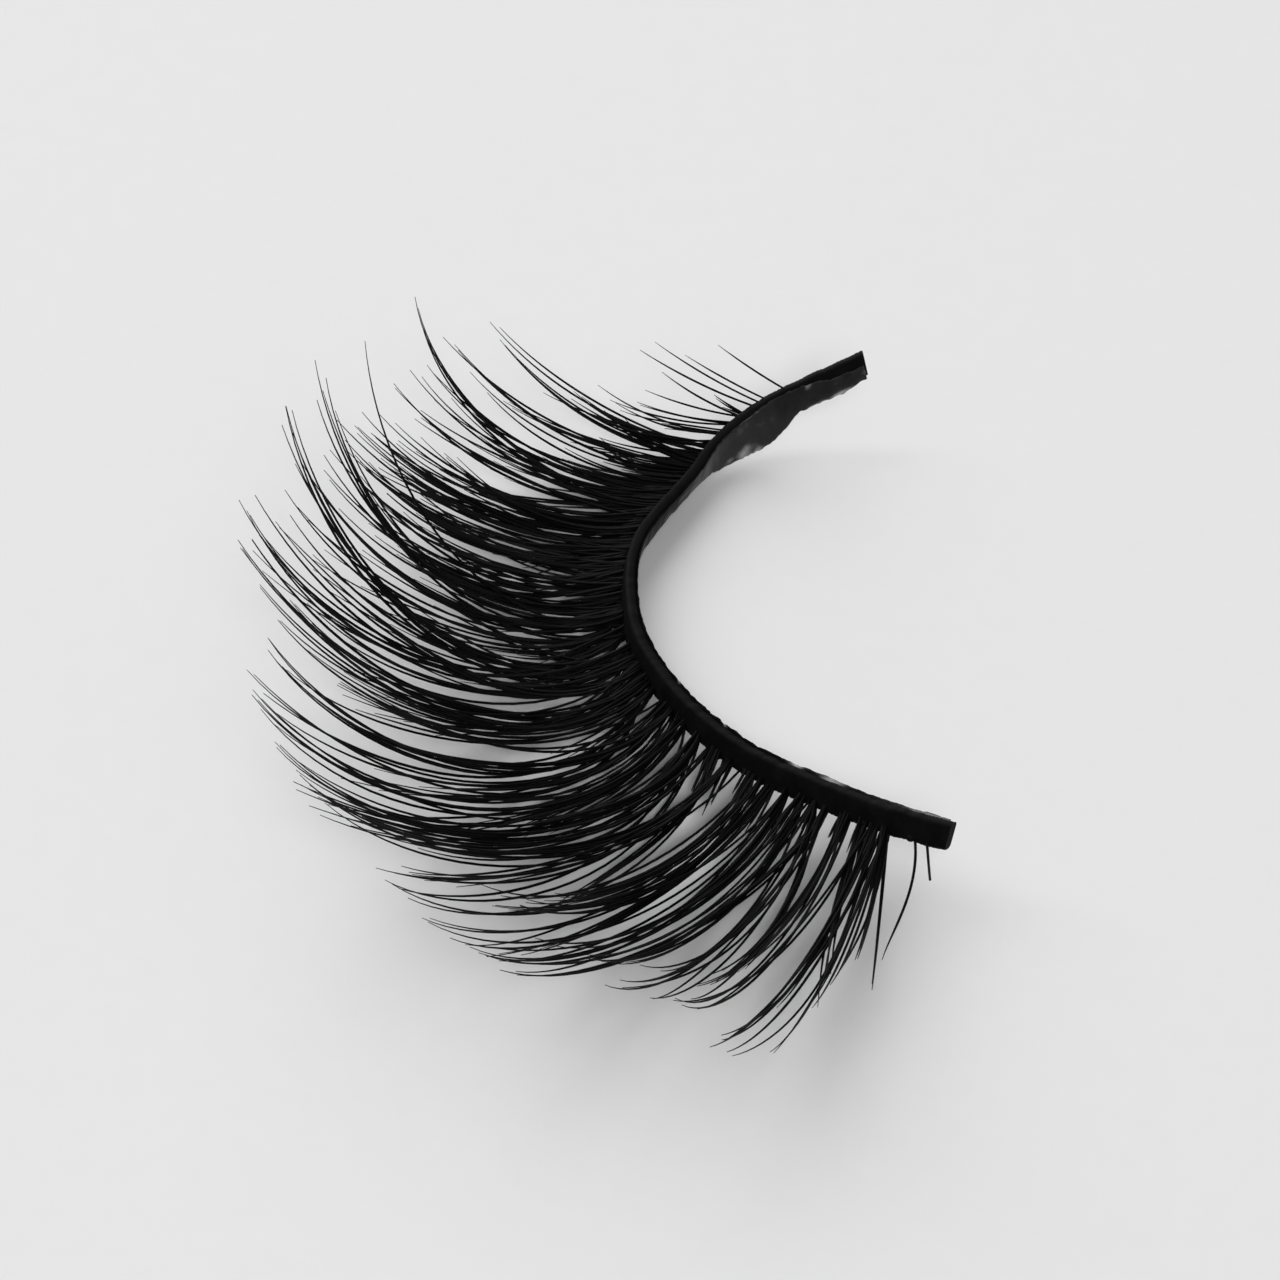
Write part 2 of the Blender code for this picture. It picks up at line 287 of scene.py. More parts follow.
# ---- the fringe -------------------------------------------------------------------
# Locks that end in a spike: place along the band, where the spike shows in the
# frame (x, y), pitch at root and tip, hairs that meet in it, how loosely they
# meet (mm), how far their roots spread along the band (mm), and the share of
# the shorter hairs round it that follow it.
LOCKS = (
    (29.82, 718, 345, 24, 36, 1, 0.00, 0.00, 0.0),
    (29.0, 685, 355, 22, 36, 2, 0.10, 0.14, 0.0),
    (28.8, 655, 342, 18, 38, 2, 0.10, 0.18, 1.0),
    (28.6, 640, 350, 16, 38, 2, 0.15, 0.18, 1.0),
    (28.4, 662, 372, 14, 36, 2, 0.15, 0.18, 1.0),
    (28.2, 645, 390, 10, 34, 2, 0.15, 0.20, 1.0),
    (28.0, 637, 402, 8, 34, 3, 0.18, 0.24, 1.0),
    (27.8, 610, 400, 4, 40, 3, 0.25, 0.26, 1.0),
    (27.4, 598, 385, 2, 44, 2, 0.20, 0.26, 1.0),
    (27.2, 600, 418, 0, 40, 3, 0.25, 0.30, 1.0),
    (26.7, 560, 395, -4, 48, 3, 0.25, 0.36, 1.0),
    (26.3, 490, 322, -8, 54, 4, 0.12, 0.42, 1.0),
    (26.0, 505, 345, -8, 52, 3, 0.15, 0.42, 1.0),
    (25.8, 530, 372, -8, 50, 3, 0.20, 0.42, 1.0),
    (25.3, 443, 337, -12, 52, 4, 0.12, 0.42, 1.0),
    (24.8, 470, 372, -18, 54, 3, 0.20, 0.42, 1.0),
    (24.2, 452, 385, -18, 54, 3, 0.20, 0.42, 1.0),
    (23.3, 415, 297, -20, 83, 5, 0.08, 0.48, 0.0),
    (23.6, 427, 365, -18, 60, 3, 0.20, 0.48, 1.0),
    (23.0, 410, 370, -18, 58, 3, 0.20, 0.48, 1.0),
    (22.9, 395, 388, -18, 52, 4, 0.18, 0.48, 1.0),
    (22.0, 380, 415, -20, 55, 4, 0.20, 0.48, 1.0),
    (21.4, 362, 412, -20, 56, 3, 0.20, 0.48, 1.0),
    (20.7, 337, 420, -20, 55, 4, 0.15, 0.48, 1.0),
    (20.3, 345, 440, -20, 55, 4, 0.18, 0.48, 1.0),
    (19.8, 355, 455, -20, 55, 4, 0.20, 0.48, 1.0),
    (16.6, 365, 341, -20, 88, 1, 0.00, 0.06, 0.0),
    (19.2, 330, 450, -20, 58, 3, 0.18, 0.42, 1.0),
    (18.6, 324, 470, -20, 60, 3, 0.20, 0.48, 1.0),
    (16.4, 315, 360, -20, 84, 3, 0.06, 0.36, 0.0),
    (16.7, 326, 378, -20, 84, 3, 0.08, 0.36, 0.0),
    (17.0, 317, 400, -20, 80, 2, 0.08, 0.36, 0.0),
    (14.6, 286, 406, -20, 82, 4, 0.06, 0.42, 0.0),
    (15.0, 292, 410, -20, 82, 2, 0.08, 0.36, 0.0),
    (15.4, 282, 425, -20, 78, 3, 0.08, 0.42, 0.0),
    (17.0, 301, 462, -20, 66, 4, 0.12, 0.48, 1.0),
    (17.6, 324, 455, -20, 66, 2, 0.15, 0.36, 0.0),
    (16.5, 285, 490, -20, 67, 4, 0.10, 0.48, 1.0),
    (16.0, 290, 515, -20, 66, 3, 0.12, 0.48, 1.0),
    (16.4, 239, 500, -20, 73, 4, 0.06, 0.48, 1.0),
    (15.8, 250, 515, -20, 71, 3, 0.08, 0.48, 1.0),
    (14.9, 255, 495, -20, 70, 3, 0.08, 0.48, 1.0),
    (14.0, 238, 540, -20, 68, 4, 0.08, 0.48, 1.0),
    (13.8, 252, 540, -20, 68, 3, 0.10, 0.48, 1.0),
    (14.2, 260, 587, -20, 66, 3, 0.12, 0.48, 1.0),
    (13.6, 290, 600, -20, 66, 4, 0.10, 0.48, 1.0),
    (14.4, 278, 620, -20, 65, 4, 0.08, 0.48, 1.0),
    (13.2, 268, 638, -20, 70, 5, 0.06, 0.54, 1.0),
    (12.8, 268, 650, -20, 68, 4, 0.08, 0.54, 1.0),
    (12.5, 247, 670, -20, 64, 4, 0.08, 0.54, 1.0),
    (12.0, 253, 690, -20, 66, 4, 0.08, 0.54, 1.0),
    (11.2, 252, 695, -20, 67, 4, 0.08, 0.48, 1.0),
    (11.6, 258, 700, -20, 66, 3, 0.10, 0.48, 1.0),
    (12.6, 337, 685, -18, 45, 2, 0.10, 0.24, 0.0),
    (12.2, 363, 688, -18, 50, 2, 0.10, 0.24, 0.0),
    (10.9, 275, 742, -20, 65, 5, 0.06, 0.54, 1.0),
    (10.6, 280, 745, -20, 62, 4, 0.10, 0.54, 1.0),
    (11.4, 296, 770, -20, 58, 4, 0.12, 0.48, 1.0),
    (10.5, 305, 780, -20, 60, 4, 0.08, 0.54, 1.0),
    (11.1, 318, 797, -20, 50, 4, 0.08, 0.54, 1.0),
    (10.8, 320, 815, -20, 50, 3, 0.08, 0.54, 1.0),
    (10.5, 378, 834, -20, 48, 4, 0.10, 0.54, 1.0),
    (6.9, 520, 905, -20, 50, 3, 0.14, 0.30, 0.6),
    (6.2, 535, 938, -20, 50, 4, 0.14, 0.30, 0.8),
    (5.6, 585, 958, -20, 50, 4, 0.14, 0.30, 0.8),
    (4.7, 640, 965, -20, 50, 3, 0.14, 0.30, 0.6),
    (7.9, 480, 884, -20, 52, 3, 0.14, 0.30, 0.8),
    (7.4, 520, 906, -20, 50, 3, 0.14, 0.30, 0.8),
    (8.9, 300, 775, -20, 62, 2, 0.10, 0.40, 0.2),
    (8.4, 325, 803, -20, 60, 2, 0.12, 0.40, 0.2),
    (7.2, 392, 884, -20, 56, 2, 0.12, 0.36, 0.2),
    (6.4, 428, 922, -20, 55, 1, 0.12, 0.36, 0.2),
    (10.2, 418, 848, -20, 48, 1, 0.12, 0.36, 0.1),
    (10.6, 376, 868, -20, 48, 3, 0.06, 0.54, 0.2),
    (10.4, 385, 880, -20, 55, 3, 0.06, 0.54, 0.2),
    (9.5, 408, 898, -20, 54, 2, 0.08, 0.42, 1.0),
    (8.0, 422, 918, -20, 53, 4, 0.08, 0.54, 1.0),
    (7.4, 450, 938, -20, 52, 5, 0.08, 0.54, 1.0),
    (6.4, 470, 947, -20, 52, 4, 0.10, 0.54, 1.0),
    (6.0, 485, 955, -20, 50, 5, 0.08, 0.54, 1.0),
    (5.1, 500, 970, -20, 48, 5, 0.08, 0.54, 1.0),
    (5.3, 605, 985, -20, 52, 4, 0.08, 0.54, 1.0),
    (5.0, 620, 980, -20, 50, 4, 0.10, 0.48, 1.0),
    (5.2, 650, 998, -20, 48, 3, 0.10, 0.48, 1.0),
    (4.0, 675, 998, -20, 53, 5, 0.08, 0.54, 1.0),
    (3.8, 682, 1005, -18, 52, 4, 0.10, 0.48, 1.0),
    (2.9, 710, 1047, -16, 43, 4, 0.08, 0.48, 1.0),
    (2.8, 722, 1040, -16, 43, 3, 0.10, 0.48, 1.0),
    (2.6, 727, 1052, -16, 42, 3, 0.10, 0.48, 1.0),
    (2.7, 770, 1052, -16, 40, 4, 0.08, 0.42, 1.0),
    (2.5, 812, 1008, -18, 34, 3, 0.12, 0.36, 1.0),
    (2.4, 830, 985, -22, 35, 3, 0.12, 0.30, 1.0),
    (2.3, 855, 960, -24, 25, 3, 0.10, 0.24, 1.0),
    (2.0, 872, 990, -30, 12, 3, 0.05, 0.12, 0.0),
    (1.35, 882, 960, -30, 14, 1, 0.00, 0.00, 0.0),
)

# Knots on the band that the hairs leave from: place along the band, half
# width (mm), hairs in it beyond those of the locks.
KNOTS = (
    (2.42, 0.10, 10), (2.85, 0.20, 22), (3.28, 0.14, 18), (4.00, 0.24, 28),
    (4.80, 0.11, 20), (5.32, 0.06, 14), (5.86, 0.14, 24), (6.46, 0.09, 14),
    (7.08, 0.13, 18), (7.50, 0.02, 3), (8.08, 0.28, 32), (9.05, 0.25, 30),
    (9.72, 0.30, 36), (10.66, 0.11, 18), (11.60, 0.26, 32), (12.38, 0.34, 40),
    (13.70, 0.34, 38), (14.42, 0.34, 38), (15.20, 0.40, 42), (16.42, 0.30, 36),
    (17.22, 0.36, 40), (18.22, 0.30, 36), (18.90, 0.34, 38), (19.60, 0.34, 38),
    (20.30, 0.34, 38), (21.00, 0.34, 38), (21.70, 0.34, 36), (22.40, 0.34, 34),
    (23.10, 0.34, 30), (23.80, 0.34, 26), (24.50, 0.34, 22), (25.20, 0.34, 18),
    (25.90, 0.30, 12), (26.60, 0.26, 9), (27.30, 0.22, 6), (28.00, 0.16, 4),
)
# Share of those hairs that is grown: place along the band, share
FILL_STATIONS = ((2.0, 0.28), (4.5, 0.24), (6.5, 0.20), (8.0, 0.21), (9.2, 0.28), (12.5, 0.33), (15.0, 0.42),
                 (17.0, 0.46), (20.0, 0.48), (22.0, 0.48), (25.0, 0.48), (28.0, 0.44))
# How far the hairs start out turned to the outer end, as the tangent of the
# flick in curl_path: place along the band, flick
FLICK_STATIONS = ((1.4, 0.055), (1.9, 0.0), (3.0, 0.008), (4.0, 0.012), (7.5, 0.030), (9.0, 0.050),
                  (10.5, 0.068), (12.0, 0.080), (14.0, 0.092), (15.5, 0.088), (18.0, 0.045),
                  (21.0, 0.010), (24.0, 0.0))
HAIR_RADIUS = 0.047
ROOT_DEPTH = 0.12           # how far a hair starts inside the band
knot_places = np.array([k[0] for k in KNOTS])
knot_halves = np.array([k[1] for k in KNOTS])


def root_point(along, rise_by):
    point, rise, face, height = band_frame(along)
    return point + face * ROOT_DEPTH + rise * rise_by


hairs = []          # (along, path, radius, shade)


def snap_to_knot(along, loose=0.10):
    """The nearest knot's width holds every root between 1.9 and 28.3 mm."""
    if along < 1.8 or along > 28.4:
        return along
    i = int(np.argmin(np.abs(knot_places - along)))
    near = np.clip(along, knot_places[i] - knot_halves[i], knot_places[i] + knot_halves[i])
    return float(near + rng.uniform(-1.0, 1.0) * loose * knot_halves[i])


def flick_at(along):
    return float(np.interp(along, [f[0] for f in FLICK_STATIONS], [f[1] for f in FLICK_STATIONS]))


def thin_at(along):
    """The hairs get finer to the inner end."""
    return float(np.interp(along, [20.0, 24.0, 28.0], [1.0, 0.88, 0.76]))


def along_path(path, share):
    at = share * HAIR_SEGMENTS
    i = int(min(at, HAIR_SEGMENTS - 1))
    return path[i] + (path[i + 1] - path[i]) * (at - i)


lock_paths = []
for along, sight_x, sight_y, root_pitch, tip_pitch, count, loose, spread, follow in LOCKS:
    root = root_point(along, 0.26)
    pitch = root_pitch
    for _ in range(24):
        heading, length = curl_to_sight(root, pitch, tip_pitch, (sight_x, sight_y),
                                        fringe_at(along, 1), fringe_at(along, 2))
        guide = curl_path(root, heading, length, pitch, tip_pitch)
        if guide[:, 2].min() >= FLOOR_CLEARANCE + 0.05:
            break
        pitch += 1.0
    flick = flick_at(along)
    rng = np.random.default_rng(int(round(along * 100)) * 1000 + sight_x)
    guide = curl_path(root, heading, length, pitch, tip_pitch, 0.0, flick)
    lock_paths.append((along, guide, length, heading, follow, pitch))
    for j in range(max(1, int(round(count * (0.58 if along < 12.0 else 0.68))))):
        if j == 0:
            place, share, miss = along, 1.0, np.zeros(3)
        else:
            place = along + rng.uniform(-1.0, 1.0) * spread * (1.9 if follow else 1.0)
            share = rng.uniform(0.88, 1.0)
            miss = rng.normal(0.0, loose, 3)
        place = min(max(snap_to_knot(place), 1.0), 31.0)
        start = root_point(place, rng.uniform(0.10, 0.42))
        target = along_path(guide, share) + miss
        target[2] = max(target[2], 0.5)
        bow = rng.normal(0.0, 0.018 if follow else 0.006) if j else 0.0
        path = settled_path(start, target, pitch + rng.normal(0.0, 2.5 if j else 0.0), bow,
                            flick + (rng.normal(0.0, 0.014) if j and follow else 0.0))
        hairs.append((place, path, HAIR_RADIUS * thin_at(along) * rng.uniform(0.92, 1.12),
                      rng.uniform(0.0, 1.0)))

lock_alongs = np.array([p[0] for p in lock_paths])
lock_follow = np.array([p[4] for p in lock_paths])
WISPS = (5, 3)              # hairs that leave a knot side by side: outer half, inner half
for place, half, count in KNOTS:
    rng = np.random.default_rng(int(round(place * 100)) + 5)
    grown = count * float(np.interp(place, [f[0] for f in FILL_STATIONS],
                                    [f[1] for f in FILL_STATIONS]))
    wisp = WISPS[0] if place < 13.0 else WISPS[1]
    together = 0.10 if place < 13.0 else 0.17
    for w in range(max(1, int(round(grown / wisp)))):
        middle = place + rng.uniform(-half, half)
        crossing = 7.0 < place < 26.0 and rng.random() < (0.14 if place < 13.0 else 0.20)
        gap = np.abs(lock_alongs - place - (rng.normal(0.0, 1.2) if crossing else 0.0))
        weight = np.exp(-(gap / 0.55) ** 2) * lock_follow
        if weight.sum() < 1e-4:
            weight = (gap == gap[lock_follow > 0].min()).astype(float)
        pick = int(rng.choice(len(lock_paths), p=weight / weight.sum()))
        guide = lock_paths[pick][1]
        draw = rng.random()
        if draw < (0.60 if 13.0 < place < 22.0 else 0.52):
            reach = rng.uniform(0.62, 1.0)
        elif draw < 0.84 or place > 25.0 or place < 13.0:
            reach = rng.uniform(0.40, 0.68)
        else:
            reach = rng.uniform(0.24, 0.40)
        aside = rng.normal(0.0, float(np.interp(place, [7.0, 9.0, 13.0, 24.0, 26.0],
                                                [0.34, 0.52, 0.45, 0.40, 0.20])), 3)
        aside[2] *= 0.55
        rise_by = rng.uniform(0.10, 0.46)
        fan = 0.008 if place < 13.0 else (0.016 if place < 24.0 else 0.008)
        if rng.random() < 0.22:
            fan *= 3.0 if place > 13.0 else 2.2
        bow = rng.normal(0.0, float(np.interp(place, [2.0, 7.0, 10.0, 22.0, 26.0],
                                              [0.014, 0.018, 0.028, 0.024, 0.008])))
        flick = flick_at(place) + rng.normal(0.0, fan)
        pitch = lock_paths[pick][5] + rng.normal(0.0, 3.0)
        for j in range(wisp):
            along = min(max(middle + rng.uniform(-0.10, 0.10), place - half), place + half)
            start = root_point(along, rise_by + rng.uniform(-0.05, 0.05))
            share = reach * rng.uniform(0.74, 1.0)
            target = along_path(guide, share) + aside * share + rng.normal(0.0, together, 3)
            target[2] = max(target[2], 0.35)
            path = settled_path(start, target, pitch + rng.normal(0.0, 1.0),
                                bow + rng.normal(0.0, 0.006), flick + rng.normal(0.0, 0.008))
            hairs.append((along, path, HAIR_RADIUS * thin_at(along) * rng.uniform(0.85, 1.12),
                          rng.uniform(0.0, 1.0)))

# short hairs that thicken the foot of every knot up to 26.5 mm along the band
FOOT = (5, 30, 44)
for place, half, count in KNOTS:
    if place > 26.5:
        continue
    rng = np.random.default_rng(int(round(place * 100)) + 9)
    pick = int(np.argmin(np.abs(lock_alongs - place) + 9.0 * (lock_follow < 1.0)))
    guide = lock_paths[pick][1]
    dense = 2 if place < 4.4 or 8.6 < place < 10.2 or place > 22.0 else (1 if place > 13.0 else 0)
    for j in range(int(round(3 + FOOT[dense] * half))):
        along = place + rng.uniform(-half, half)
        start = root_point(along, rng.uniform(0.06, 0.40))
        share = rng.uniform(0.05, float(np.interp(place, [12.0, 14.0, 21.0, 23.0],
                                                  [0.12, 0.20, 0.20, 0.34])))
        target = start + (along_path(guide, share) - guide[0]) + rng.normal(0.0, 0.07, 3)
        target[2] = max(target[2], 0.25)
        path = settled_path(start, target, max(-14.0, lock_paths[pick][5]), 0.0, 0.0)
        hairs.append((along, path, HAIR_RADIUS * thin_at(along) * rng.uniform(0.95, 1.25),
                      rng.uniform(0.0, 1.0)))

# the short cut stub beside the outer end
stub_root = root_point(0.78, 0.20)
heading, length = curl_to_sight(stub_root, -8.0, 4.0, (930, 880), -10.0, 1.8)
CUT_TONE = 0.5
hairs.append((1.0, curl_path(stub_root, heading, length, -8.0, 4.0), HAIR_RADIUS, CUT_TONE))


# ---- meshes --------------------------------------------------------------------
def tube_rings(path, radius, blunt=False):
    """Rings of points round a path, thinning to a fine tip."""
    path = np.asarray(path, float)
    count = len(path)
    ahead = np.gradient(path, axis=0)
    ahead /= np.linalg.norm(ahead, axis=1)[:, None]
    side = np.empty_like(path)
    side[0] = unit(np.cross(ahead[0], np.array([0.0, 0.0, 1.0])))
    for k in range(1, count):
        side[k] = unit(side[k - 1] - ahead[k] * float(side[k - 1] @ ahead[k]))
    over = np.cross(side, ahead)
    share = np.linspace(0.0, 1.0, count)
    thick = radius * (1.0 - 0.10 * share)
    if not blunt:
        fade = np.clip((share - 0.62) / 0.38, 0.0, 1.0)
        thick = thick * (1.0 - 0.74 * fade ** 1.2)
    angles = np.linspace(0.0, 2.0 * math.pi, HAIR_SIDES, endpoint=False)
    return (path[:, None, :] + thick[:, None, None] * (
        np.cos(angles)[None, :, None] * side[:, None, :]
        + np.sin(angles)[None, :, None] * over[:, None, :]))


def joined_tubes(name, group):
    points, faces, along_share, shade = [], [], [], []
    base = 0
    for _, path, radius, tone in group:
        rings = tube_rings(path, radius, blunt=tone == CUT_TONE)
        count = len(rings)
        points.append(placed(rings.reshape(-1, 3)))
        for r in range(count - 1):
            for k in range(HAIR_SIDES):
                n = (k + 1) % HAIR_SIDES
                faces.append((base + r * HAIR_SIDES + k, base + r * HAIR_SIDES + n,
                              base + (r + 1) * HAIR_SIDES + n, base + (r + 1) * HAIR_SIDES + k))
        faces.append(tuple(base + k for k in reversed(range(HAIR_SIDES))))
        faces.append(tuple(base + (count - 1) * HAIR_SIDES + k for k in range(HAIR_SIDES)))
        along_share.append(np.repeat(np.linspace(0.0, 1.0, count), HAIR_SIDES))
        shade.append(np.full(count * HAIR_SIDES, tone))
        base += count * HAIR_SIDES
    return make_piece(name, np.concatenate(points), faces,
                      {"share": np.concatenate(along_share), "tone": np.concatenate(shade)})


def make_piece(name, points, faces, attributes=(), smooth=True):
    mesh = bpy.data.meshes.new(name)
    mesh.from_pydata([tuple(p) for p in points], [], faces)
    mesh.validate()
    for key in attributes:
        layer = mesh.attributes.new(key, "FLOAT", "POINT")
        layer.data.foreach_set("value", np.asarray(attributes[key], np.float32))
    if smooth:
        mesh.shade_smooth()
    mesh.update()
    check = bmesh.new()
    check.from_mesh(mesh)
    bmesh.ops.recalc_face_normals(check, faces=check.faces[:])
    check.to_mesh(mesh)
    check.free()
    piece = bpy.data.objects.new(name, mesh)
    bpy.context.scene.collection.objects.link(piece)
    return piece


def smooth_noise(length, step, seed):
    """A repeatable random curve along the band, about -1 to 1."""
    source = np.random.default_rng(seed)
    spots = np.arange(-2.0 * step, length + 3.0 * step, step)
    values = source.uniform(-1.0, 1.0, len(spots))

    def at(position):
        i = int(math.floor((position - spots[0]) / step))
        t = (position - spots[i]) / step
        t = t * t * (3.0 - 2.0 * t)
        return float(values[i] * (1.0 - t) + values[i + 1] * t)

    return at


# ---- materials -------------------------------------------------------------------
def new_material(name):
    material = bpy.data.materials.new(name)
    material.use_nodes = True
    tree = material.node_tree
    return material, tree, tree.nodes["Principled BSDF"]


def node(tree, kind, **values):
    made = tree.nodes.new(kind)
    for key, value in values.items():
        if key in made.inputs:
            made.inputs[key].default_value = value
        else:
            setattr(made, key, value)
    return made


def fibre_material():
    material, tree, shader = new_material("lash_fibre")
    link = tree.links.new
    tone = node(tree, "ShaderNodeAttribute", attribute_name="tone")
    share = node(tree, "ShaderNodeAttribute", attribute_name="share")
    place = node(tree, "ShaderNodeTexCoord")
    streak = node(tree, "ShaderNodeTexNoise", Scale=5200.0, Detail=3.0, Roughness=0.6)
    link(place.outputs["Object"], streak.inputs["Vector"])
    tone_ramp = node(tree, "ShaderNodeValToRGB")
    tone_ramp.color_ramp.elements[0].color = (0.0012, 0.0012, 0.0013, 1.0)
    tone_ramp.color_ramp.elements[1].color = (0.0042, 0.0041, 0.0041, 1.0)
    link(tone.outputs["Fac"], tone_ramp.inputs["Fac"])
    tip_ramp = node(tree, "ShaderNodeValToRGB")
    tip_ramp.color_ramp.elements[0].position = 0.55
    tip_ramp.color_ramp.elements[0].color = (0.0, 0.0, 0.0, 1.0)
    tip_ramp.color_ramp.elements[1].position = 1.0
    tip_ramp.color_ramp.elements[1].color = (1.0, 1.0, 1.0, 1.0)
    link(share.outputs["Fac"], tip_ramp.inputs["Fac"])
    tips = node(tree, "ShaderNodeMix", data_type="RGBA", blend_type="MIX")
    link(tip_ramp.outputs["Color"], tips.inputs[0])
    link(tone_ramp.outputs["Color"], tips.inputs[6])
    tips.inputs[7].default_value = (0.016, 0.0155, 0.0155, 1.0)
    link(tips.outputs[2], shader.inputs["Base Color"])
    rough = node(tree, "ShaderNodeMapRange")
    rough.inputs["To Min"].default_value = 0.42
    rough.inputs["To Max"].default_value = 0.62
    link(streak.outputs["Fac"], rough.inputs["Value"])
    link(rough.outputs["Result"], shader.inputs["Roughness"])
    shader.inputs["Specular IOR Level"].default_value = 0.05
    bump = node(tree, "ShaderNodeBump", Strength=0.25, Distance=0.000004)
    link(streak.outputs["Fac"], bump.inputs["Height"])
    link(bump.outputs["Normal"], shader.inputs["Normal"])
    return material


def band_material():
    material, tree, shader = new_material("band_thread")
    link = tree.links.new
    place = node(tree, "ShaderNodeTexCoord")
    coarse = node(tree, "ShaderNodeTexNoise", Scale=1400.0, Detail=4.0, Roughness=0.65)
    fine = node(tree, "ShaderNodeTexNoise", Scale=9000.0, Detail=2.0, Roughness=0.6)
    link(place.outputs["Object"], coarse.inputs["Vector"])
    link(place.outputs["Object"], fine.inputs["Vector"])
    ramp = node(tree, "ShaderNodeValToRGB")
    ramp.color_ramp.elements[0].position = 0.30
    ramp.color_ramp.elements[0].color = (0.0014, 0.0014, 0.0015, 1.0)
    ramp.color_ramp.elements[1].position = 0.80
    ramp.color_ramp.elements[1].color = (0.0050, 0.0050, 0.0052, 1.0)
    link(coarse.outputs["Fac"], ramp.inputs["Fac"])
    link(ramp.outputs["Color"], shader.inputs["Base Color"])
    rough = node(tree, "ShaderNodeMapRange")
    rough.inputs["To Min"].default_value = 0.55
    rough.inputs["To Max"].default_value = 0.80
    link(coarse.outputs["Fac"], rough.inputs["Value"])
    link(rough.outputs["Result"], shader.inputs["Roughness"])
    shader.inputs["Specular IOR Level"].default_value = 0.06
    bump = node(tree, "ShaderNodeBump", Strength=0.5, Distance=0.000012)
    link(fine.outputs["Fac"], bump.inputs["Height"])
    link(bump.outputs["Normal"], shader.inputs["Normal"])
    return material


def glue_material():
    material, tree, shader = new_material("glue_film")
    link = tree.links.new
    place = node(tree, "ShaderNodeTexCoord")
    cloud = node(tree, "ShaderNodeAttribute", attribute_name="cloud")
    blotch = node(tree, "ShaderNodeTexNoise", Scale=1700.0, Detail=4.0, Roughness=0.6)
    fine = node(tree, "ShaderNodeTexNoise", Scale=6500.0, Detail=3.0, Roughness=0.6)
    link(place.outputs["Object"], blotch.inputs["Vector"])
    link(place.outputs["Object"], fine.inputs["Vector"])
    mottled = node(tree, "ShaderNodeMath", operation="MULTIPLY")
    spread = node(tree, "ShaderNodeMapRange")
    spread.inputs["From Min"].default_value = 0.30
    spread.inputs["From Max"].default_value = 0.70
    spread.inputs["To Min"].default_value = 0.55
    spread.inputs["To Max"].default_value = 1.25
    link(blotch.outputs["Fac"], spread.inputs["Value"])
    link(cloud.outputs["Fac"], mottled.inputs[0])
    link(spread.outputs["Result"], mottled.inputs[1])
    ramp = node(tree, "ShaderNodeValToRGB")
    ramp.color_ramp.elements[0].position = 0.0
    ramp.color_ramp.elements[0].color = (0.002, 0.002, 0.002, 1.0)
    ramp.color_ramp.elements[1].position = 0.18
    ramp.color_ramp.elements[1].color = (0.016, 0.016, 0.017, 1.0)
    pale = ramp.color_ramp.elements.new(0.95)
    pale.color = (0.60, 0.60, 0.60, 1.0)
    link(mottled.outputs[0], ramp.inputs["Fac"])
    link(ramp.outputs["Color"], shader.inputs["Base Color"])
    veil = node(tree, "ShaderNodeAttribute", attribute_name="veil")
    link(veil.outputs["Fac"], shader.inputs["Alpha"])
    rough = node(tree, "ShaderNodeMapRange")
    rough.inputs["To Min"].default_value = 0.22
    rough.inputs["To Max"].default_value = 0.42
    link(blotch.outputs["Fac"], rough.inputs["Value"])
    link(rough.outputs["Result"], shader.inputs["Roughness"])
    gloss = node(tree, "ShaderNodeMapRange")
    gloss.inputs["From Min"].default_value = 0.05
    gloss.inputs["From Max"].default_value = 0.14
    gloss.inputs["To Min"].default_value = 0.02
    gloss.inputs["To Max"].default_value = 0.26
    link(cloud.outputs["Fac"], gloss.inputs["Value"])
    link(gloss.outputs["Result"], shader.inputs["Specular IOR Level"])
    bump = node(tree, "ShaderNodeBump", Strength=0.35, Distance=0.00002)
    link(fine.outputs["Fac"], bump.inputs["Height"])
    link(bump.outputs["Normal"], shader.inputs["Normal"])
    return material


FIBRE = fibre_material()
THREAD = band_material()
GLUE = glue_material()

# ---- fringe pieces -----------------------------------------------------------------
edges = np.linspace(CLUSTER_FIRST, CLUSTER_LAST, CLUSTER_COUNT + 1)
groups = [[] for _ in range(CLUSTER_COUNT)]
for hair in hairs:
    index = int(np.clip(np.searchsorted(edges, hair[0]) - 1, 0, CLUSTER_COUNT - 1))
    groups[index].append(hair)
for index, group in enumerate(groups):
    if not group:
        continue
    piece = joined_tubes("lash_hairs_%02d" % (index + 1), group)
    piece.data.materials.append(FIBRE)
    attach(piece, "root")
    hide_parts("lash_cluster_%02d" % (index + 1))


# ---- band -----------------------------------------------------------------------------
BAND_SECTIONS = 420
CORNER_POINTS = 5
side_wave = smooth_noise(BAND_LENGTH, 0.55, 11)
edge_wave = smooth_noise(BAND_LENGTH, 0.32, 12)
root_wave = smooth_noise(BAND_LENGTH, 0.40, 13)
fray_wave = smooth_noise(BAND_LENGTH, 0.12, 14)


def end_slant(along):
    """Shift along the band, for each mm, that cuts the inner end at a slant."""
    share = min(max((along - BAND_LENGTH + 0.8) / 0.8, 0.0), 1.0)
    ahead = unit(root_edge(BAND_LENGTH) - root_edge(BAND_LENGTH - 0.3))
    return ahead * share


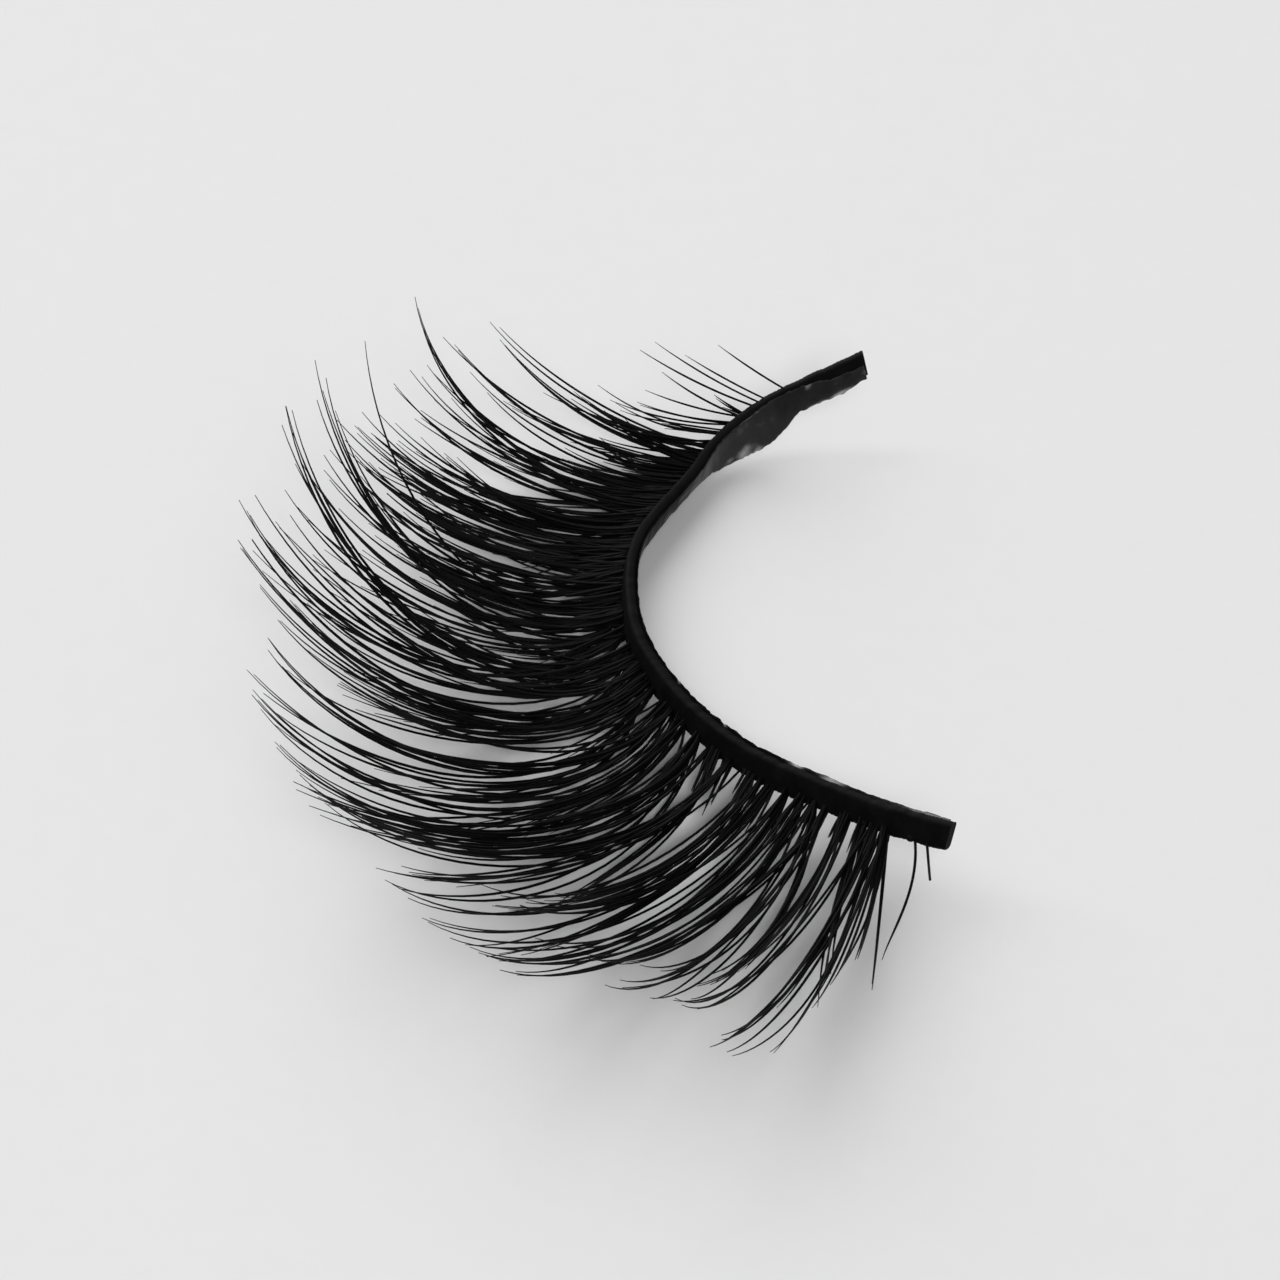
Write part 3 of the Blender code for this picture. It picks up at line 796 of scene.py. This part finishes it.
def band_section(along):
    """Rounded ribbon section with the ridges of the thread wound round it."""
    point, rise, face, height = band_frame(along)
    low = 0.02 * root_wave(along)
    high = height + 0.022 * edge_wave(along) + 0.010 * fray_wave(along)
    near = 0.012 * side_wave(along)
    far = BAND_THICKNESS - 0.012
    round_by = 0.15
    spots = []
    for centre_a, centre_b, start in ((far - round_by, low + round_by, -90.0),
                                      (far - round_by, high - round_by, 0.0),
                                      (near + round_by, high - round_by, 90.0),
                                      (near + round_by, low + round_by, 180.0)):
        for k in range(CORNER_POINTS):
            t = math.radians(start + 90.0 * k / (CORNER_POINTS - 1))
            spots.append((centre_a + round_by * math.cos(t), centre_b + round_by * math.sin(t)))
    ring = []
    middle_a, middle_b = 0.5 * (near + far), 0.5 * (low + high)
    for a, b in spots:
        turn = math.atan2(b - middle_b, (a - middle_a) * 2.0)
        ridge = math.sin(2.0 * math.pi * along / 0.17 + 1.0 * turn)
        swell = 0.010 * ridge
        da, db = a - middle_a, b - middle_b
        size = math.hypot(da, db)
        ring.append(point + face * (a + swell * da / size) + rise * (b + swell * db / size)
                    + end_slant(along) * (0.30 - 0.20 * b / height))
    return ring


points, faces = [], []
ring_size = 4 * CORNER_POINTS
for i in range(BAND_SECTIONS + 1):
    points.extend(band_section(BAND_LENGTH * i / BAND_SECTIONS))
for i in range(BAND_SECTIONS):
    for k in range(ring_size):
        n = (k + 1) % ring_size
        faces.append((i * ring_size + k, i * ring_size + n,
                      (i + 1) * ring_size + n, (i + 1) * ring_size + k))
faces.append(tuple(reversed(range(ring_size))))
faces.append(tuple(BAND_SECTIONS * ring_size + k for k in range(ring_size)))

# small knots of thread where the hairs leave the band
ball = bmesh.new()
bmesh.ops.create_icosphere(ball, subdivisions=2, radius=1.0)
ball_points = np.array([v.co for v in ball.verts])
ball_faces = [tuple(v.index for v in f.verts) for f in ball.faces]
ball.free()
knot_rng = np.random.default_rng(77)
for place, half, count in KNOTS + ((28.6, 0.10, 0), (29.0, 0.10, 0), (29.82, 0.08, 0), (1.35, 0.07, 0)):
    for j in range(max(1, int(round(half / 0.11)))):
        along = place + (knot_rng.uniform(-0.8, 0.8) * half if half > 0.12 else 0.0)
        point, rise, face, height = band_frame(along)
        side = np.cross(rise, face)
        size = knot_rng.uniform(0.085, 0.125)
        centre = point + face * 0.05 + rise * knot_rng.uniform(0.10, 0.20)
        base = len(points)
        bumps = 1.0 + 0.10 * np.sin(ball_points @ knot_rng.uniform(2.0, 5.0, 3) * 2.0)
        shape = ball_points * bumps[:, None]
        points.extend(centre + size * (shape[:, :1] * side * 1.15 + shape[:, 1:2] * face * 1.05
                                       + shape[:, 2:3] * rise * 1.25))
        faces.extend(tuple(base + v for v in f) for f in ball_faces)

band = make_piece("band_ribbon", placed(points), faces)
band.data.set_sharp_from_angle(angle=math.radians(60.0))
band.data.materials.append(THREAD)
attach(band, "root")
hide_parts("band")

# ---- glue film ---------------------------------------------------------------------------
# along, how far past the root edge, how far past the free edge, cloudiness,
# how much it hides
FILM_STATIONS = (
    (0.25, -0.20, 0.00, 0.10, 0.80), (3.0, -0.15, 0.04, 0.06, 0.90), (4.6, -0.15, 0.06, 0.06, 0.95),
    (5.3, -0.15, 0.08, 0.06, 0.95), (6.4, -0.15, 0.06, 0.06, 0.97), (8.0, -0.15, 0.05, 0.04, 0.97),
    (11.0, -0.15, 0.03, 0.04, 0.97), (13.0, -0.15, 0.03, 0.04, 0.97), (18.0, -0.12, 0.03, 0.04, 0.97),
    (21.0, -0.10, 0.02, 0.00, 0.98), (23.0, -0.10, -0.02, 0.02, 0.98), (25.0, 0.04, -0.05, 0.12, 0.97),
    (26.0, 0.16, -0.09, 0.16, 0.96), (26.9, 0.36, -0.12, 0.16, 0.96), (27.8, 0.58, -0.13, 0.18, 0.96),
    (28.5, 0.58, -0.15, 0.16, 0.97), (29.1, 0.38, -0.16, 0.14, 0.98), (29.7, 0.06, -0.20, 0.14, 0.97),
    (30.2, 0.14, -0.26, 0.15, 0.96), (31.0, 0.18, -0.40, 0.16, 0.94), (31.8, 0.12, -0.44, 0.16, 0.94),
    (32.4, 0.00, -0.44, 0.16, 0.95), (33.0, -0.06, -0.44, 0.14, 0.95),
)
# Pale patches: along, height on the ribbon, half length, half height, strength
FILM_PATCHES = (
    (5.05, 1.00, 0.42, 0.10, 0.85), (6.55, 1.02, 0.28, 0.08, 0.80), (1.10, 0.96, 1.10, 0.05, 0.45),
    (30.05, 0.80, 0.12, 0.16, 0.55), (27.15, -0.28, 0.34, 0.22, 0.60), (27.70, -0.55, 0.30, 0.14, 0.50),
    (26.50, -0.16, 0.22, 0.12, 0.40), (30.50, -0.14, 0.40, 0.06, 0.55), (31.30, -0.13, 0.40, 0.06, 0.60),
    (32.30, 0.22, 0.26, 0.12, 0.30), (24.30, 0.35, 0.20, 0.06, 0.30), (23.40, 0.60, 0.30, 0.05, 0.30),
    (22.30, 0.45, 0.25, 0.05, 0.25), (9.90, 1.00, 0.10, 0.06, 0.50), (12.60, 1.00, 0.08, 0.05, 0.45),
)
film_rows = np.asarray(FILM_STATIONS, float)
FILM_SECTIONS = 560
FILM_ACROSS = 17
FILM_THICK = 0.055
film_low = smooth_noise(BAND_LENGTH, 0.42, 21)
film_low_fine = smooth_noise(BAND_LENGTH, 0.13, 22)
film_high = smooth_noise(BAND_LENGTH, 0.36, 23)
film_high_fine = smooth_noise(BAND_LENGTH, 0.12, 24)
film_swell = smooth_noise(BAND_LENGTH, 0.30, 25)

points, faces, clouds, veils = [], [], [], []
film_first, film_last = 0.25, min(33.0, BAND_LENGTH - 0.05)
for i in range(FILM_SECTIONS + 1):
    along = film_first + (film_last - film_first) * i / FILM_SECTIONS
    point, rise, face, height = band_frame(along)
    past_root, past_free, cloud, veil = [float(np.interp(along, film_rows[:, 0], film_rows[:, c]))
                                         for c in (1, 2, 3, 4)]
    rag = float(np.interp(along, [0.0, 8.0, 9.5, 15.0, 17.0, 24.0, 26.0, 33.0],
                          [0.010, 0.012, 0.040, 0.040, 0.020, 0.012, 0.030, 0.030]))
    low = -past_root + 0.05 * film_low(along) + rag * film_low_fine(along)
    high = height + past_free + 0.022 * film_high(along) + rag * film_high_fine(along)
    slant = end_slant(along)
    inner = BAND_THICKNESS - 0.02
    front, rear, tone_row, veil_row = [], [], [], []
    for k in range(FILM_ACROSS):
        t = k / (FILM_ACROSS - 1)
        up = low + (high - low) * t
        patch = 0.0
        for spot, spot_up, half_long, half_up, strength in FILM_PATCHES:
            near = ((along - spot) / half_long) ** 2 + ((up - spot_up) / half_up) ** 2
            patch = max(patch, strength * math.exp(-near))
        tone_row.append(cloud + (1.0 - cloud) * patch)
        veil_row.append(veil * (1.0 - 0.60 * patch))
        thick = FILM_THICK * (0.35 + 0.65 * math.sin(math.pi * min(max(t, 0.02), 0.98)) ** 0.5)
        thick += 0.012 * film_swell(along)
        base = inner + 0.004 * math.sin(9.0 * along + 5.0 * t)
        shift = slant * (0.30 - 0.20 * up / height)
        front.append(point + face * (base + thick) + rise * up + shift)
        rear.append(point + face * base + rise * up + shift)
    clouds.extend(tone_row + tone_row[::-1])
    veils.extend(veil_row + veil_row[::-1])
    points.extend(front + rear[::-1])
ring_size = 2 * FILM_ACROSS
for i in range(FILM_SECTIONS):
    for k in range(ring_size):
        n = (k + 1) % ring_size
        faces.append((i * ring_size + k, i * ring_size + n,
                      (i + 1) * ring_size + n, (i + 1) * ring_size + k))
faces.append(tuple(reversed(range(ring_size))))
faces.append(tuple(FILM_SECTIONS * ring_size + k for k in range(ring_size)))
film = make_piece("glue_sheet", placed(points), faces, {"cloud": clouds, "veil": veils})
film.data.materials.append(GLUE)
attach(film, "root")
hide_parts("glue_film")


# ---- surface and light ----------------------------------------------------------------------
floor_mesh = bpy.data.meshes.new("floor")
half = 1.2
floor_mesh.from_pydata([(-half, -half, 0.0), (half, -half, 0.0), (half, half, 0.0), (-half, half, 0.0)],
                       [], [(0, 1, 2, 3)])
floor = bpy.data.objects.new("floor", floor_mesh)
bpy.context.scene.collection.objects.link(floor)
material, tree, shader = new_material("pale_surface")
place = node(tree, "ShaderNodeTexCoord")
grain = node(tree, "ShaderNodeTexNoise", Scale=900.0, Detail=3.0, Roughness=0.5)
tree.links.new(place.outputs["Object"], grain.inputs["Vector"])
ramp = node(tree, "ShaderNodeValToRGB")
ramp.color_ramp.elements[0].color = (0.745, 0.745, 0.745, 1.0)
ramp.color_ramp.elements[1].color = (0.765, 0.765, 0.765, 1.0)
tree.links.new(grain.outputs["Fac"], ramp.inputs["Fac"])
tree.links.new(ramp.outputs["Color"], shader.inputs["Base Color"])
shader.inputs["Roughness"].default_value = 0.85
shader.inputs["Specular IOR Level"].default_value = 0.2
floor_mesh.materials.append(material)

world = bpy.data.worlds.new("studio")
bpy.context.scene.world = world
world.use_nodes = True
world.node_tree.nodes["Background"].inputs["Color"].default_value = (1.0, 1.0, 1.0, 1.0)
world.node_tree.nodes["Background"].inputs["Strength"].default_value = 0.20

lamp_data = bpy.data.lights.new("softbox", "AREA")
lamp_data.shape = "DISK"
lamp_data.size = 1.3
lamp_data.energy = 10.3
lamp = bpy.data.objects.new("softbox", lamp_data)
bpy.context.scene.collection.objects.link(lamp)
lamp_place = Vector((-0.58, -0.32, 0.48))
lamp.location = lamp_place
lamp.rotation_mode = "QUATERNION"
lamp.rotation_quaternion = lamp_place.to_track_quat("Z", "Y")

fill_data = bpy.data.lights.new("fill", "AREA")
fill_data.shape = "DISK"
fill_data.size = 0.28
fill_data.energy = 2.05
fill_lamp = bpy.data.objects.new("fill", fill_data)
bpy.context.scene.collection.objects.link(fill_lamp)
fill_place = Vector((0.50, 0.05, 0.50))
fill_lamp.location = fill_place
fill_lamp.rotation_mode = "QUATERNION"
fill_lamp.rotation_quaternion = fill_place.to_track_quat("Z", "Y")

bpy.context.scene.view_settings.view_transform = "Standard"
